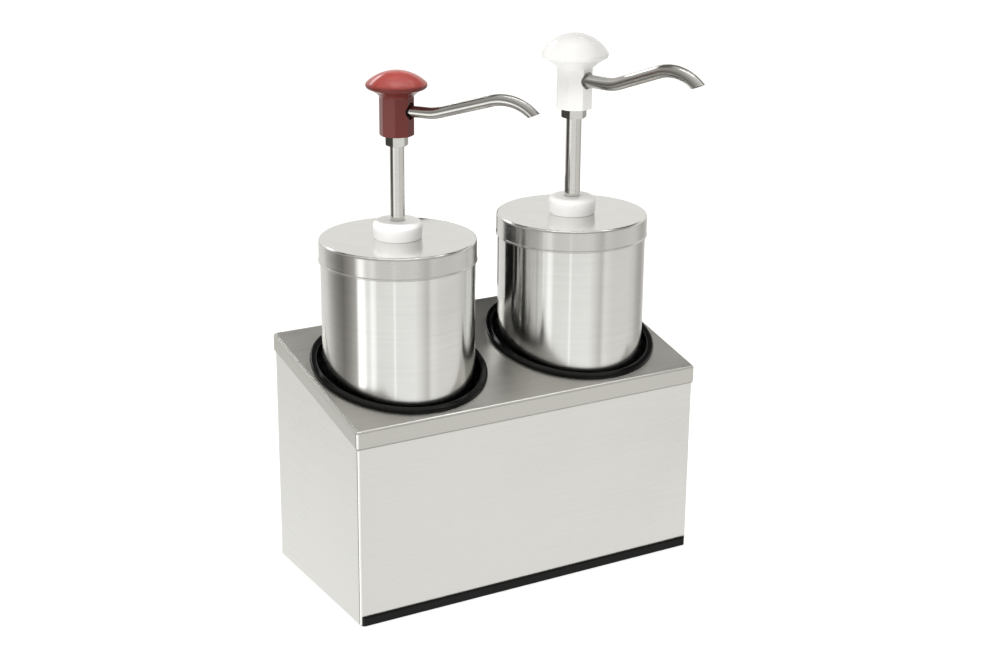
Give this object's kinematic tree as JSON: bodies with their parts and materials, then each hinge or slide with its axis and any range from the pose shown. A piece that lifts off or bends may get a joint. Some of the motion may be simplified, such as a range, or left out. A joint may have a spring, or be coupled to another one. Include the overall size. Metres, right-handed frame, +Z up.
{
  "type": "condiment pump dispenser",
  "caption": "Countertop sauce dispenser: a sloped stainless stand holds lidded jars, each with a press-down pump, palm knob and bent spout.",
  "frame": {"origin": "on the counter, in the middle of the front wall's outer face", "axes": "+Z up, +X to the user's right, +Y to the back"},
  "size_m": [0.3526, 0.2266, 0.4896],
  "materials": {
    "stand_sheet": "horizontally brushed stainless sheet",
    "cover_sheet": "satin brushed stainless sheet",
    "edge_rubber": "smooth black rubber with a slight shine",
    "jar_steel": "deep-drawn stainless, finely turned finish",
    "lid_steel": "satin stainless lid",
    "white_plastic": "moulded glossy plastic",
    "red_plastic": "moulded glossy plastic",
    "pump_plastic": "natural moulded plastic",
    "dip_tube_plastic": "natural tubing",
    "seal_rubber": "food-grade elastomer",
    "wire_steel": "drawn stainless wire and washers",
    "shaft_steel": "polished stainless tube",
    "spout_steel": "satin polished stainless tube",
    "ball_steel": "polished ball"
  },
  "bodies": {
    "stand": {"stand_shell": "stand_sheet", "top_cover": "cover_sheet", "base_plate": "stand_sheet", "front_edge_strip": "edge_rubber", "rear_edge_strip": "edge_rubber", "left_hole_trim": "edge_rubber", "right_hole_trim": "edge_rubber"},
    "left_jar": {"left_jar": "jar_steel"},
    "left_lid": {"left_lid": "lid_steel", "left_collar_nut": "white_plastic", "left_lid_gasket": "seal_rubber", "left_pump_cylinder": "pump_plastic", "left_guide_bush": "pump_plastic", "left_wiper_seal": "seal_rubber", "left_foot_valve": "pump_plastic", "left_foot_valve_seal": "seal_rubber", "left_suction_stop_pin": "wire_steel", "left_dip_tube": "dip_tube_plastic", "left_return_spring": "wire_steel"},
    "left_spring_seat": {"left_spring_seat": "wire_steel"},
    "left_plunger": {"left_shaft": "shaft_steel", "left_piston": "pump_plastic", "left_piston_seals": "seal_rubber", "left_discharge_stop_pin": "wire_steel", "left_lock_nut": "shaft_steel", "left_knob": "red_plastic", "left_spout": "spout_steel", "left_spout_seal": "edge_rubber"},
    "left_suction_ball": {"left_suction_ball": "ball_steel"},
    "left_discharge_ball": {"left_discharge_ball": "ball_steel"},
    "right_jar": {"right_jar": "jar_steel"},
    "right_lid": {"right_lid": "lid_steel", "right_collar_nut": "white_plastic", "right_lid_gasket": "seal_rubber", "right_pump_cylinder": "pump_plastic", "right_guide_bush": "pump_plastic", "right_wiper_seal": "seal_rubber", "right_foot_valve": "pump_plastic", "right_foot_valve_seal": "seal_rubber", "right_suction_stop_pin": "wire_steel", "right_dip_tube": "dip_tube_plastic", "right_return_spring": "wire_steel"},
    "right_spring_seat": {"right_spring_seat": "wire_steel"},
    "right_plunger": {"right_shaft": "shaft_steel", "right_piston": "pump_plastic", "right_piston_seals": "seal_rubber", "right_discharge_stop_pin": "wire_steel", "right_lock_nut": "shaft_steel", "right_knob": "white_plastic", "right_spout": "spout_steel", "right_spout_seal": "edge_rubber"},
    "right_suction_ball": {"right_suction_ball": "ball_steel"},
    "right_discharge_ball": {"right_discharge_ball": "ball_steel"}
  },
  "joints": [
    {"name": "left_jar_lift", "type": "slide", "parent": "stand", "child": "left_jar", "axis": [0, 0, 1], "range_m": [0, 0.24]},
    {"name": "left_lid_lift", "type": "slide", "parent": "left_jar", "child": "left_lid", "axis": [0, 0, 1], "range_m": [0, 0.32]},
    {"name": "left_press", "type": "slide", "parent": "left_lid", "child": "left_spring_seat", "axis": [0, 0, 1], "range_m": [-0.046, 0], "stiffness_N_per_m": 400, "springref_m": 0.02, "deforming": ["left_return_spring"]},
    {"name": "left_swivel", "type": "hinge", "parent": "left_spring_seat", "child": "left_plunger", "pos_m": [-0.091, 0.0855, 0.3], "axis": [0, 0, 1], "continuous": true},
    {"name": "left_suction_check", "type": "slide", "parent": "left_lid", "child": "left_suction_ball", "axis": [0, 0, 1], "range_m": [0, 0.003]},
    {"name": "left_discharge_check", "type": "slide", "parent": "left_plunger", "child": "left_discharge_ball", "axis": [0, 0, 1], "range_m": [0, 0.0025]},
    {"name": "right_jar_lift", "type": "slide", "parent": "stand", "child": "right_jar", "axis": [0, 0, 1], "range_m": [0, 0.24]},
    {"name": "right_lid_lift", "type": "slide", "parent": "right_jar", "child": "right_lid", "axis": [0, 0, 1], "range_m": [0, 0.32]},
    {"name": "right_press", "type": "slide", "parent": "right_lid", "child": "right_spring_seat", "axis": [0, 0, 1], "range_m": [-0.046, 0], "stiffness_N_per_m": 400, "springref_m": 0.02, "deforming": ["right_return_spring"]},
    {"name": "right_swivel", "type": "hinge", "parent": "right_spring_seat", "child": "right_plunger", "pos_m": [0.091, 0.0855, 0.3], "axis": [0, 0, 1], "continuous": true},
    {"name": "right_suction_check", "type": "slide", "parent": "right_lid", "child": "right_suction_ball", "axis": [0, 0, 1], "range_m": [0, 0.003]},
    {"name": "right_discharge_check", "type": "slide", "parent": "right_plunger", "child": "right_discharge_ball", "axis": [0, 0, 1], "range_m": [0, 0.0025]}
  ]
}
